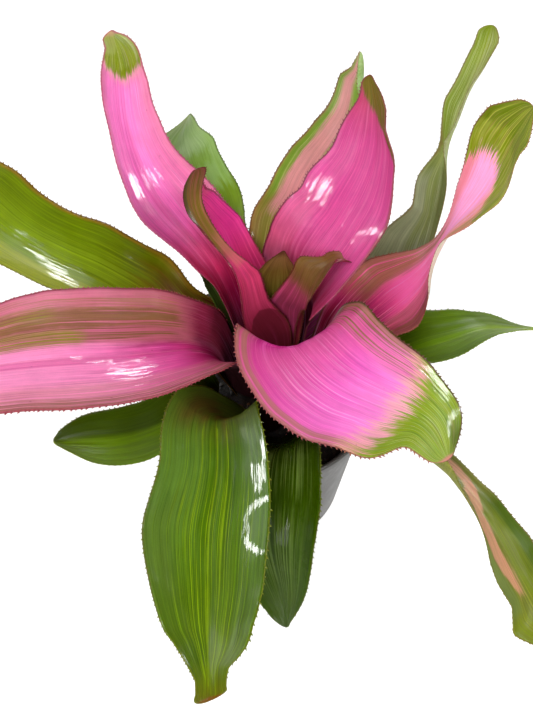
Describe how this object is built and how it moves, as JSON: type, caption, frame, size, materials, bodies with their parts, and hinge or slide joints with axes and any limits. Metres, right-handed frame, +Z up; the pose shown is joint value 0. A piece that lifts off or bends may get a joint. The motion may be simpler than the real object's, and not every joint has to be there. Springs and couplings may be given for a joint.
{
  "type": "potted bromeliad",
  "caption": "Bromeliad with broad arching pink and green leaves around an open water cup, growing on a short stem in a tapered plastic nursery pot filled with soil.",
  "frame": {"origin": "centre of the pot's base, on the floor", "axes": "+Z up along the pot's axis; the side seen in the picture faces -Y, with +X to its right"},
  "size_m": [0.3817, 0.371, 0.3025],
  "materials": {
    "pot_plastic": "dark grey, lightly satin",
    "potting_soil": "matt, dark, crumbly",
    "stem_bark": "matt",
    "leaf_pink": "glossy living leaf, pink with an olive edge",
    "leaf_green": "glossy living leaf, green with lighter ribs",
    "leaf_olive": "glossy living leaf, olive to pink",
    "leaf_magenta": "glossy living leaf, deep magenta"
  },
  "bodies": {
    "root": {"pot": "pot_plastic", "soil": "potting_soil", "stem": "stem_bark", "leaf_inner_left": "leaf_magenta", "leaf_inner_right": "leaf_magenta", "leaf_inner_back": "leaf_olive", "leaf_inner_magenta": "leaf_magenta", "leaf_back_pink": "leaf_pink", "leaf_back_left_pink": "leaf_pink", "leaf_front_pink": "leaf_pink", "leaf_back_olive": "leaf_olive", "leaf_right_pink": "leaf_pink", "leaf_left_pink": "leaf_pink", "leaf_right_back_green": "leaf_green", "leaf_back_left_green": "leaf_green", "leaf_left_green": "leaf_green", "leaf_right_low_green": "leaf_green", "leaf_front_right_drooping": "leaf_olive", "leaf_front_green": "leaf_green", "leaf_front_low_green": "leaf_green", "leaf_left_low_green": "leaf_green"}
  },
  "joints": []
}
